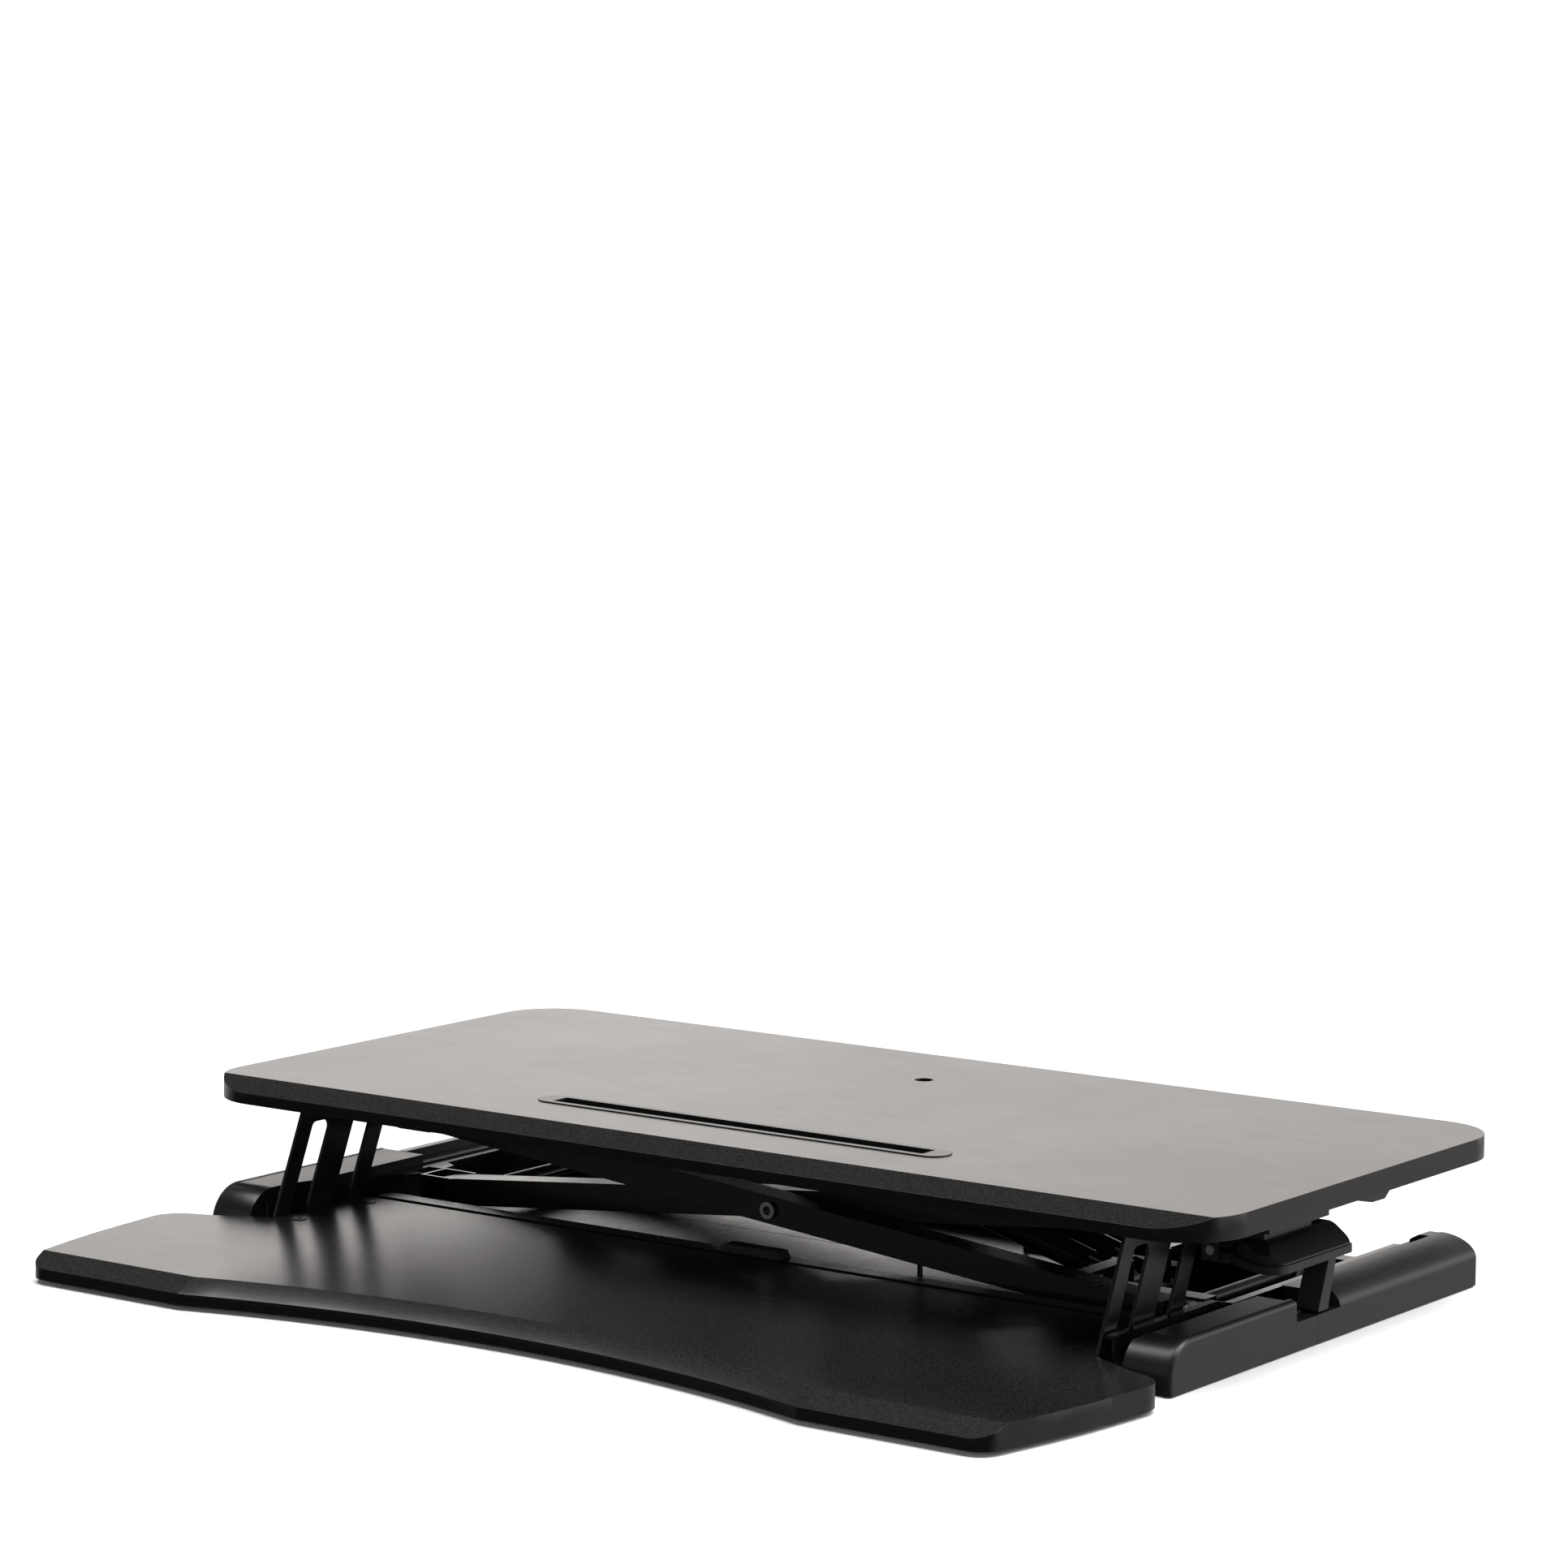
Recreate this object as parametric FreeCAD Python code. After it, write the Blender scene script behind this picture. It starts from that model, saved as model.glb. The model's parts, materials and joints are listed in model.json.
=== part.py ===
import FreeCAD, Part

import math
import os

# Standing desk converter in its lowest position, millimetres.
# X runs along the long side (right is +X seen from the user), Y towards the back, Z up.
# The drawing below is centred on the work surface; every piece is moved back by ORIGIN_BACK
# when it is saved, which puts the origin under the middle of the whole outline, on the desk.

V = FreeCAD.Vector

# ---- driving dimensions -------------------------------------------------------------
TOP_WIDTH = 800.0
TOP_DEPTH = 380.0
BOARD = 15.0                # thickness of both boards
TOP_Z = 106.0               # upper face of the work surface, closed
TOP_CORNER = 45.0
BEVEL_DROP = 7.5
BEVEL_RUN = 20.0

TRAY_Z = 3.0                # underside of the keyboard tray
TRAY_FRONT = -382.0
TRAY_BACK = -103.0
TRAY_NECK = 325.0           # half width of the tray between the hangers
TRAY_DIP = 36.0             # depth of the curve in the tray's front edge
TRAY_KINK = 241.0           # where that curve starts
TRAY_BEVEL_RUN = 18.0

SHEET = 2.0                 # folded steel sheet
FLOOR_GAP = 2.5             # foot height under the steel base
ARM_HALF = 9.3              # half height of a scissor arm
ARM_DEEP = 20.0
PIN_X = 299.0               # scissor pins, left and right of the middle
PIN_LOW = 16.0
PIN_HIGH = 74.0
PIN_R = 5.0
RUN_GAP = 0.05              # radial clearance of a running pin
ROLLER_R = 7.0
AXLE_R = 4.0

Y_MID = 22.0                # plane half way between the front and the rear scissor
OUTER_ARM = (-76.0, -56.0)  # front scissor, arm that falls to the right
INNER_ARM = (-52.0, -32.0)  # front scissor, arm that rises to the right
BEAM = (-98.0, -28.0)       # front cross sheets, below and above
FRAME_X = 318.0             # half length of the cross sheets
PLATE_BACK = Y_MID - 0.5    # where the two base sheets meet

SPRING_X = 225.0            # moving end of each gas spring
SPRING_LOW = 14.0
SPRING_HIGH = 76.0
SPRING_LANE = 6.0           # middle of the front gas spring

COVER_IN = 339.0
COVER_OUT = 381.0
COVER_FRONT = -198.0
COVER_BACK = 185.0
COVER_TOP = 33.0
COVER_LOW = 0.8
WALL = 2.5
NOTCH = (-49.6, -22.7)
NOTCH_Z = 18.8
HUMP_FRONT = 5.0

HANGER_X = 327.0            # middle of the hanger plate
HANGER_T = 2.5
HANGER_LEAN = 0.4265        # backward lean of the legs, mm per mm of height
HANGER_FOOT = -193.6        # front edge of the hanger at the tray's upper face

HINGE_X = 328.0             # handle hinge
HINGE_Z = 60.0
HINGE_R = 3.0
PADDLE = (-84.0, 20.0)
PADDLE_Z = (52.5, 57.5)

SLAB_LOW = TOP_Z - BOARD
ORIGIN_BACK = -(TRAY_FRONT + TOP_DEPTH / 2) / 2
SLOPE = (PIN_HIGH - PIN_LOW) / (2 * PIN_X)
PIN_MID = (PIN_HIGH + PIN_LOW) / 2
BASE_TOP = FLOOR_GAP + SHEET
X, Y, Z = V(1, 0, 0), V(0, 1, 0), V(0, 0, 1)


# ---- small helpers ------------------------------------------------------------------
def box(x, y, z):
    """A block from three (low, high) pairs."""
    return Part.makeBox(x[1] - x[0], y[1] - y[0], z[1] - z[0], V(x[0], y[0], z[0]))


def rod(x, z, radius, y):
    """A cylinder along Y between the two values of y."""
    return Part.makeCylinder(radius, y[1] - y[0], V(x, y[0], z), Y)


def peg(x, y, radius, z):
    """An upright cylinder."""
    return Part.makeCylinder(radius, z[1] - z[0], V(x, y, z[0]), Z)


def ring(x, z, outer, inner, y):
    return rod(x, z, outer, y).cut(rod(x, z, inner, y))


def outline(points):
    """A closed wire; a point of three numbers is a corner rounded by the third."""
    corners = [V(p[0], p[1], 0) for p in points]
    radii = [p[2] if len(p) > 2 else 0 for p in points]
    ends = []
    for i, corner in enumerate(corners):
        before = (corners[i - 1] - corner).normalize()
        after = (corners[(i + 1) % len(corners)] - corner).normalize()
        if not radii[i]:
            ends.append((corner, None, corner))
            continue
        half = before.getAngle(after) / 2
        back = radii[i] / math.tan(half)
        middle = (before + after).normalize()
        bulge = corner + middle * (radii[i] / math.sin(half) - radii[i])
        ends.append((corner + before * back, bulge, corner + after * back))
    edges = []
    for i, (start, bulge, end) in enumerate(ends):
        if bulge:
            edges.append(Part.Arc(start, bulge, end).toShape())
        follow = ends[(i + 1) % len(ends)][0]
        if end.distanceToPoint(follow) > 1e-6:
            edges.append(Part.makeLine(end, follow))
    return Part.Wire(edges)


def plate(points, z):
    """An outline in X and Y, raised between the two values of z."""
    face = Part.Face(outline(points))
    face.translate(V(0, 0, z[0]))
    return face.extrude(V(0, 0, z[1] - z[0]))


def side_plate(points, x):
    """An outline in Y and Z, extended between the two values of x."""
    face = Part.Face(outline(points))
    face.rotate(V(0, 0, 0), V(1, 1, 1), 120)
    face.translate(V(x[0], 0, 0))
    return face.extrude(V(x[1] - x[0], 0, 0))


def front_plate(points, y):
    """An outline in X and Z, extended between the two values of y."""
    face = Part.Face(outline(points))
    face.rotate(V(0, 0, 0), X, 90)
    face.translate(V(0, y[0], 0))
    return face.extrude(V(0, y[1] - y[0], 0))


def joined(shapes):
    result = shapes[0].multiFuse(shapes[1:]) if len(shapes) > 1 else shapes[0]
    return result.removeSplitter()


def without(shape, cutters):
    for cutter in cutters:
        shape = shape.cut(cutter)
    return shape


def other_side(shape):
    """The same piece on the left."""
    return shape.mirror(V(0, 0, 0), X)


def rear(shape):
    """The same piece on the rear scissor."""
    return shape.mirror(V(0, Y_MID, 0), Y)


def flipped(shape):
    """The same piece upside down about the scissor's mid height."""
    return shape.mirror(V(0, 0, PIN_MID), Z)


def save(name, shape):
    shape = shape.copy()
    shape.translate(V(0, ORIGIN_BACK, 0))
    shape.exportStep("parts/" + name + ".step")
    print(name, len(shape.Solids), "valid" if shape.isValid() else "NOT VALID", round(shape.Volume))


def save_pair(name, shape):
    save(name + "_right", shape)
    save(name + "_left", other_side(shape))


def save_both(name, shape, copy):
    """Two alike in one node: the shape and what copy makes of it."""
    save(name, Part.makeCompound([shape, copy(shape)]))


# ---- boards -------------------------------------------------------------------------
SLOT_Y = -109.7
SLOT_INSERT_R = 12.0
SLOT_INSERT_X = 151.0       # middles of the insert's round ends
SLOT_INSERT_PROUD = 0.7
SLOT_HALF = (148.0, 7.4)
ARM_HOLE_Y = 103.0
ARM_HOLE_R = 6.25
SCREW_HOLES = [(308.0, -189.0), (308.0, -117.0)]
SCREW_R = 2.5
SCREW_HEAD_R = 4.6
HANGER_SCREW_Y = (-150.0, -122.0, -96.0)


def stadium(half_x, radius, y, z):
    middle = box((-half_x, half_x), (y - radius, y + radius), z)
    return joined([middle, peg(-half_x, y, radius, z), peg(half_x, y, radius, z)])


def front_wedge(front, run, top, reach):
    """What a straight front bevel takes away."""
    start = (front - 1, top - BEVEL_DROP - BEVEL_DROP / run)
    end = (front + 2 * run, top + BEVEL_DROP)
    return side_plate([start, end, (start[0], end[1])], (-reach, reach))


def make_work_surface():
    half_x, half_y, r = TOP_WIDTH / 2, TOP_DEPTH / 2, TOP_CORNER
    corners = [(-half_x, -half_y, r), (half_x, -half_y, r), (half_x, half_y, r), (-half_x, half_y, r)]
    board = plate(corners, (SLAB_LOW, TOP_Z))
    pocket = stadium(SLOT_INSERT_X, SLOT_INSERT_R + 0.4, SLOT_Y, (TOP_Z - 11, TOP_Z + 1))
    hole = peg(0, ARM_HOLE_Y, ARM_HOLE_R, (SLAB_LOW - 1, TOP_Z + 1))
    return without(board, [front_wedge(-half_y, BEVEL_RUN, TOP_Z, half_x + 1), pocket, hole])


def make_slot_insert():
    outer = stadium(SLOT_INSERT_X, SLOT_INSERT_R, SLOT_Y, (TOP_Z - 11, TOP_Z + SLOT_INSERT_PROUD))
    slot = box((-SLOT_HALF[0], SLOT_HALF[0]), (SLOT_Y - SLOT_HALF[1], SLOT_Y + SLOT_HALF[1]),
               (TOP_Z - 9, TOP_Z + 2))
    return outer.cut(slot)


def make_keyboard_tray():
    top = TRAY_Z + BOARD
    right = [(TRAY_KINK, TRAY_FRONT), (371.5, TRAY_FRONT, 16), (386.5, -310.0, 600), (394.5, -226.0, 22),
             (362.0, -214.5, 30), (TRAY_NECK, -194.5), (TRAY_NECK, TRAY_BACK, 8)]
    left = [(-p[0],) + p[1:] for p in reversed(right)]
    board = plate(right + left, (TRAY_Z, top))
    radius = (TRAY_KINK ** 2 + TRAY_DIP ** 2) / (2 * TRAY_DIP)
    centre_y = TRAY_FRONT + TRAY_DIP - radius
    scoop = peg(0, centre_y, radius, (TRAY_Z - 1, top + 1))
    cone = Part.makeCone(radius, radius + 2 * TRAY_BEVEL_RUN, 2 * BEVEL_DROP,
                         V(0, centre_y, top - BEVEL_DROP), Z)
    cutters = [scoop, cone, front_wedge(TRAY_FRONT, TRAY_BEVEL_RUN, top, 400)]
    for x, y in SCREW_HOLES:
        for side in (x, -x):
            cutters.append(peg(side, y, SCREW_R + 0.2, (TRAY_Z - 1, top + 1)))
            cutters.append(peg(side, y, SCREW_HEAD_R + 0.4, (top - 1.5, top + 1)))
    return without(board, cutters)


def make_tray_screws():
    screws = []
    for x, y in SCREW_HOLES:
        for side in (x, -x):
            head = peg(side, y, SCREW_HEAD_R, (TRAY_Z + BOARD - 1.5, TRAY_Z + BOARD + 0.6))
            socket = peg(side, y, 1.8, (TRAY_Z + BOARD - 1.0, TRAY_Z + BOARD + 1))
            shank = peg(side, y, SCREW_R, (TRAY_Z - SHEET, TRAY_Z + BOARD - 1.5))
            screws.append(joined([head, shank]).cut(socket))
    return Part.makeCompound(screws)


def make_hanger():
    """Slotted steel plate that carries the tray below the work surface, right side."""
    tray_top = TRAY_Z + BOARD

    def lean(offset, z):
        return HANGER_FOOT + offset + HANGER_LEAN * (z - tray_top)

    x = (HANGER_X - HANGER_T / 2, HANGER_X + HANGER_T / 2)
    foot, strap = TRAY_Z - SHEET, 12.0
    web = side_plate([(HANGER_FOOT, foot), (HANGER_FOOT, tray_top), (lean(0, SLAB_LOW), SLAB_LOW),
                      (lean(92, SLAB_LOW), SLAB_LOW), (lean(92, tray_top), tray_top),
                      (lean(92, tray_top), foot)], x)
    slots = []
    for near, far, top, rounding in ((14.5, 32.6, 77.0, 4.5), (58.0, 76.0, 85.0, 3.0)):
        slots.append(side_plate([(lean(near, strap), strap, 2), (lean(near, top), top, rounding),
                                 (lean(far, top), top, rounding), (lean(far, strap), strap, 2)],
                                (x[0] - 1, x[1] + 1)))
    lower = box((TRAY_NECK - 30, x[1]), (HANGER_FOOT, TRAY_BACK + 1), (foot, TRAY_Z))
    upper = box((x[0], x[1] + 22), (lean(0, SLAB_LOW), lean(76, SLAB_LOW)), (SLAB_LOW - SHEET, SLAB_LOW))
    plate_shape = joined([without(web, slots), lower, upper])
    holes = [peg(px, py, SCREW_R, (foot - 1, TRAY_Z + 1)) for px, py in SCREW_HOLES]
    holes += [peg(HANGER_X + 13, y, SCREW_R, (SLAB_LOW - SHEET - 1, SLAB_LOW + 1)) for y in HANGER_SCREW_Y]
    return without(plate_shape, holes)


def make_surface_screws():
    """Pan-head screws up into the work surface."""
    places = [(side * (HANGER_X + 13), y) for y in HANGER_SCREW_Y for side in (1, -1)]
    places += [(x, y) for x in (-180, -60, 60) for y in (-40, 2 * Y_MID + 40)]
    screws = []
    for x, y in places:
        head = peg(x, y, 4.2, (SLAB_LOW - SHEET - 2.2, SLAB_LOW - SHEET))
        screws.append(joined([head, peg(x, y, SCREW_R, (SLAB_LOW - SHEET, SLAB_LOW))]))
    return Part.makeCompound(screws)


# ---- steel base and the frame under the work surface -----------------------------------
TRACK_X = (95.0, FRAME_X)
RAIL_X = (FRAME_X, 337.0)
RAIL_Y = (-99.0, 165.0)
RAIL_NOSE = (331.0, -190.0)  # the channel narrows beside the tray and runs on to here
RAIL_TOP = (30.0, 25.5)      # upper edge in front of its step and behind it
LOWER_TRACK_Y = (-53.5, -39.5)
UPPER_TRACK_Y = (-73.0, -54.0)
TRACK_ROOM = 7.5            # half height inside a roller track


HAT_DEEP = 14.0              # stiffening hat along the outer edge of each base sheet
HAT_TOP = 18.5


def make_base_beam():
    """Front half of the base plate, with a hat folded along its front edge."""
    x = (-FRAME_X, FRAME_X)
    sheet = box(x, (BEAM[0], PLATE_BACK), (FLOOR_GAP, BASE_TOP))
    hat = box(x, (BEAM[0], BEAM[0] + HAT_DEEP), (FLOOR_GAP, HAT_TOP))
    room_y = (BEAM[0] + SHEET, BEAM[0] + HAT_DEEP - SHEET)
    room = box((x[0] - 1, x[1] + 1), room_y, (FLOOR_GAP - 1, HAT_TOP - SHEET))
    return joined([sheet, hat]).cut(room)


def make_base_rail():
    """Side channel of the base, right side."""
    whole = (RAIL_NOSE[1], RAIL_Y[1])
    sheet = box(RAIL_X, RAIL_Y, (FLOOR_GAP, BASE_TOP))
    nose = box((RAIL_NOSE[0], RAIL_X[1]), whole, (FLOOR_GAP, BASE_TOP))
    step = [(-70.0, RAIL_TOP[0]), (-52.0, RAIL_TOP[1])]
    web = side_plate([(whole[0], FLOOR_GAP), (whole[0], RAIL_TOP[0])] + step +
                     [(whole[1], RAIL_TOP[1]), (whole[1], FLOOR_GAP)], (RAIL_X[1] - SHEET, RAIL_X[1]))
    under = [(y - 0.5, z - SHEET) for y, z in reversed(step)]
    lip = side_plate([(whole[0], RAIL_TOP[0] - SHEET), (whole[0], RAIL_TOP[0])] + step +
                     [(whole[1], RAIL_TOP[1]), (whole[1], RAIL_TOP[1] - SHEET)] + under,
                     (RAIL_NOSE[0], RAIL_X[1]))
    return without(joined([sheet, nose, web, lip]), rail_screw_holes())


def make_left_rail():
    """The other side channel, level on top, with two tabs on its lip; drawn on the right."""
    whole = (RAIL_NOSE[1], RAIL_Y[1])
    low, high = RAIL_TOP[1] - SHEET, RAIL_TOP[1]
    sheet = box(RAIL_X, RAIL_Y, (FLOOR_GAP, BASE_TOP))
    nose = box((RAIL_NOSE[0], RAIL_X[1]), whole, (FLOOR_GAP, BASE_TOP))
    web = box((RAIL_X[1] - SHEET, RAIL_X[1]), whole, (FLOOR_GAP, high))
    lip = box((RAIL_NOSE[0], RAIL_X[1]), (-66.0, whole[1]), (low, high))
    front_tab = plate([(332, -60), (325, -57), (320.5, -46, 1.5), (332, -43)], (low, high))
    rear_tab = plate([(332, -26), (319, -25, 3), (320, -12, 3), (332, -5)], (low, high))
    return without(joined([sheet, nose, web, lip, front_tab, rear_tab]), rail_screw_holes())


def rail_screw_holes():
    return [Part.makeCylinder(2.0, 10, V(RAIL_X[1] - 5, y, COVER_SCREW_Z), X) for y in COVER_SCREW_Y]


COVER_SCREW_Y = (-140.0, -80.0, 60.0, 140.0)
COVER_SCREW_Z = 12.0


def make_cover_screws():
    screws = []
    for y in COVER_SCREW_Y:
        head = Part.makeCylinder(3.6, 2, V(RAIL_X[1] - SHEET - 2, y, COVER_SCREW_Z), X)
        shank = Part.makeCylinder(2.0, 8, V(RAIL_X[1] - SHEET, y, COVER_SCREW_Z), X)
        screws.append(joined([head, shank]))
    return Part.makeCompound(screws + [other_side(s) for s in screws])


def make_lower_track():
    """Slotted frame that the lower axle runs through, with a narrow post at its inner end."""
    outer = box(TRACK_X, LOWER_TRACK_Y, (BASE_TOP, PIN_LOW + TRACK_ROOM + SHEET))
    room = box((TRACK_X[0] + SHEET, TRACK_X[1] - SHEET), (LOWER_TRACK_Y[0] - 1, LOWER_TRACK_Y[1] + 1),
               (PIN_LOW - TRACK_ROOM, PIN_LOW + TRACK_ROOM))
    entry = box((TRACK_X[0] - 1, TRACK_X[0] + 3), (LOWER_TRACK_Y[0] - 1, LOWER_TRACK_Y[1] - 3.5),
                (PIN_LOW - TRACK_ROOM, PIN_LOW + TRACK_ROOM))
    return outer.cut(room).cut(entry)


def make_upper_track():
    """C-shaped roller track that opens backwards, with its spacer to the cross sheet."""
    outer = box(TRACK_X, UPPER_TRACK_Y, (PIN_HIGH - TRACK_ROOM - SHEET, SLAB_LOW - SHEET))
    room = box((TRACK_X[0] - 1, TRACK_X[1] - SHEET), (UPPER_TRACK_Y[0] + SHEET, UPPER_TRACK_Y[1] + 1),
               (PIN_HIGH - TRACK_ROOM, PIN_HIGH + TRACK_ROOM))
    return outer.cut(room)


def make_pivot_bracket(pin_z, y, low, high):
    """Two ears for a left scissor pin."""
    ears = []
    for near in (y[0] - 1.5 - SHEET, y[1] + 1.5):
        ears.append(box((-PIN_X - 13, -PIN_X + 13), (near, near + SHEET), (low, high)))
    y_span = (y[0] - 1.5 - SHEET, y[1] + 1.5 + SHEET)
    ears.append(box((-PIN_X - 13 - SHEET, -PIN_X - 13), y_span, (low, high)))
    return joined(ears).cut(rod(-PIN_X, pin_z, PIN_R, (y[0] - 9, y[1] + 9)))


def make_pin(pin_z, y):
    """Headed pin with a push-on cap at its inner end."""
    head = rod(-PIN_X, pin_z, 7.5, (y[0] - 6.5, y[0] - 3.5))
    shaft = rod(-PIN_X, pin_z, PIN_R, (y[0] - 3.5, y[1] + 4.0))
    cap = rod(-PIN_X, pin_z, 7.0, (y[1] + 3.5, y[1] + 6.0))
    return joined([head, shaft, cap])


def make_surface_beam():
    """Front cross sheet screwed under the work surface."""
    z = (SLAB_LOW - SHEET, SLAB_LOW)
    sheet = box((-FRAME_X, FRAME_X), BEAM, z)
    holes = [peg(x, -40, SCREW_R, (z[0] - 1, z[1] + 1)) for x in (-180, -60, 60)]
    return without(sheet, holes)


FRONT_FOOT = (358.0, -172.0)
FOOT_R = 9.0


def make_feet():
    places = [FRONT_FOOT, (327.5, 20.0), (327.5, 154.0)]
    feet = [peg(side * x, y, FOOT_R, (0, FLOOR_GAP)) for side in (1, -1) for x, y in places]
    return Part.makeCompound(feet)


def make_front_bumper():
    """Rubber block on the middle of the front hat."""
    top = HAT_TOP + 5.0
    profile = [(-25, HAT_TOP), (-22, top, 3), (22, top, 3), (25, HAT_TOP)]
    return front_plate(profile, (BEAM[0] + 1, BEAM[0] + HAT_DEEP - 2))


# ---- side covers ------------------------------------------------------------------------
RIM_WIDE = 5.5
SLOPE_RUN = 14.0
SLOPE_DROP = 6.0
NOSE_IN = 346.0              # the nose is narrower on its inner side


def make_front_cover(back, rim, sloped):
    """Front cover: drum-shaped nose and roof inside an outer wall that stands proud by the rim."""
    front, top = COVER_FRONT + rim, COVER_TOP - rim
    wall_profile = [(COVER_FRONT, COVER_LOW), (COVER_FRONT, COVER_TOP, 26),
                    (back, COVER_TOP), (back, COVER_LOW)]
    wall = side_plate(wall_profile, (COVER_OUT - RIM_WIDE, COVER_OUT))
    wall = wall.makeFillet(3.5, outer_upper_edges(wall, back))
    drum = nose_body(front, back, top, 24.5, 0.0, (COVER_LOW, COVER_OUT - RIM_WIDE + 0.5))
    room = nose_body(front + WALL, back - WALL, top - WALL, 22.0, WALL, (COVER_LOW - 1, COVER_OUT - WALL))
    cutters = [cover_screw_holes()]
    if sloped:
        room = room.cut(inner_slope(front + WALL, back - WALL, top - WALL - 3.0))
        cutters.append(inner_slope(front - 1, back + 1, top))
    foot_boss = peg(FRONT_FOOT[0], FRONT_FOOT[1], FOOT_R + 2, (FLOOR_GAP, top - WALL + 0.5))
    return joined([without(joined([wall, drum]), [room] + cutters), foot_boss])


def nose_body(front, back, top, rounding, inset, low_and_out):
    """Side profile with a rounded nose, cut to the plan whose front end is narrower."""
    low, out = low_and_out
    body = side_plate([(front, low), (front, top, rounding), (back, top), (back, low)], (COVER_IN, out))
    plan = [(NOSE_IN + inset, front), (out, front), (out, back), (COVER_IN + inset, back),
            (COVER_IN + inset, COVER_FRONT + 62), (NOSE_IN + inset, COVER_FRONT + 40)]
    return body.common(plate(plan, (low, top)))


def inner_slope(front, back, top):
    """Prism along the inner upper edge of a cover, where the roof slopes down to the steel rail."""
    return front_plate([(COVER_IN - 1, top - SLOPE_DROP - 0.5), (COVER_IN + SLOPE_RUN, top),
                        (COVER_IN + SLOPE_RUN, top + 9), (COVER_IN - 1, top + 9)], (front, back))


def outer_upper_edges(shell, back):
    """The edges of the outer face, apart from the lower one and the straight rear one."""
    chosen = []
    for edge in shell.Edges:
        box_of = edge.BoundBox
        on_outer = abs(box_of.XMin - COVER_OUT) < 0.01 and box_of.XLength < 0.01
        low = box_of.ZMax < COVER_LOW + 0.1
        at_back = box_of.YMin > back - 0.1
        if on_outer and not low and not at_back:
            chosen.append(edge)
    return chosen


def cover_screw_holes():
    holes = [Part.makeCylinder(2.0, 12, V(RAIL_X[1], y, COVER_SCREW_Z), X) for y in COVER_SCREW_Y]
    return Part.makeCompound(holes)


def make_post_socket():
    """Low insert below the handle's post."""
    outer = box((COVER_IN, COVER_OUT), NOTCH, (COVER_LOW, NOTCH_Z))
    room_y = (NOTCH[0] + WALL, NOTCH[1] - WALL)
    return outer.cut(box((COVER_IN + WALL, COVER_OUT - WALL), room_y, (COVER_LOW - 1, NOTCH_Z - WALL)))


def make_rear_cover(front, hump_front):
    """Rear cover: a ledge, then a long rounded hump with a fuller cap at its rear end, right side."""
    ledge = box((COVER_IN, COVER_OUT), (front, COVER_BACK), (COVER_LOW, NOTCH_Z + 0.2))
    crest = COVER_IN + 16
    spread, rise = COVER_OUT - crest, COVER_TOP - NOTCH_Z
    hump = Part.makeCylinder(rise, COVER_BACK - hump_front, V(0, hump_front, 0), Y)
    stretch = FreeCAD.Matrix()
    stretch.A11 = spread / rise
    hump = hump.transformGeometry(stretch)
    hump.translate(V(crest, 0, NOTCH_Z))
    hump = hump.common(box((crest, COVER_OUT), (hump_front, COVER_BACK), (NOTCH_Z, COVER_TOP)))
    inner = box((COVER_IN, crest), (hump_front, COVER_BACK), (NOTCH_Z, COVER_TOP - 6))
    cap_profile = [(COVER_IN, NOTCH_Z), (COVER_IN, COVER_TOP - 4.5, 2.5), (COVER_IN + 7, COVER_TOP - 0.6, 3),
                   (crest + 2, COVER_TOP - 0.4), (crest + 2, NOTCH_Z)]
    cap = front_plate(cap_profile, (COVER_BACK - 14, COVER_BACK))
    body = joined([ledge, hump, inner, cap])
    room_y = (front + WALL, COVER_BACK - WALL)
    rooms = [box((COVER_IN + WALL, COVER_OUT - WALL), room_y, (COVER_LOW - 1, NOTCH_Z - WALL)),
             box((COVER_IN + WALL, crest + 8), (hump_front + WALL, room_y[1]), (NOTCH_Z - WALL - 1, 24.0))]
    return without(body, rooms + [cover_screw_holes()])


# ---- scissor arms -------------------------------------------------------------------------
def along(x_from_middle, up=0.0):
    """A point of the rising arm's centre line at rest, as (x, z)."""
    return x_from_middle, PIN_MID + SLOPE * x_from_middle + up


def tilted(shape):
    """A shape drawn level about the middle pin, turned to the rising arm's angle."""
    shape = shape.copy()
    shape.rotate(V(0, 0, PIN_MID), Y, -math.degrees(math.atan(SLOPE)))
    return shape


ARM_REACH = math.hypot(PIN_X, PIN_HIGH - PIN_MID)


def long_round_bar(half, radius, y):
    middle = box((-half, half), y, (PIN_MID - radius, PIN_MID + radius))
    return joined([middle, rod(-half, PIN_MID, radius, y), rod(half, PIN_MID, radius, y)])


def make_arm(y, bores):
    """Channel-section arm with round ends, open towards the middle of the frame."""
    arm = long_round_bar(ARM_REACH, ARM_HALF, y)
    room = long_round_bar(ARM_REACH, ARM_HALF - SHEET, (y[0] + SHEET, y[1] + 1))
    holes = [rod(x, PIN_MID, r, (y[0] - 1, y[0] + 5)) for x, r in zip((-ARM_REACH, 0, ARM_REACH), bores)]
    return tilted(without(arm, [room] + holes))


def make_bushes(y, bores):
    """Three spacer tubes inside one arm; the middle one of the outer arm reaches to the inner arm."""
    tubes = []
    for x, r in zip((-ARM_REACH, 0, ARM_REACH), bores):
        end = INNER_ARM[0] - 0.4 if x == 0 and y == OUTER_ARM else y[1]
        tubes.append(ring(x, PIN_MID, ARM_HALF - SHEET - 0.2, r, (y[0] + SHEET, end)))
    return tilted(Part.makeCompound(tubes))


def make_cross_tubes(y):
    """Two tubes that tie the front arm to the rear arm, on the low half of the rising arm."""
    span = (y[0] + SHEET, 2 * Y_MID - y[0] - SHEET)
    tubes = []
    for x in (-270.0, -130.0):
        point = along(x)
        tubes.append(ring(point[0], point[1], 6.8, 5.4, span))
    return Part.makeCompound(tubes)


RUNNING = PIN_R + RUN_GAP


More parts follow.
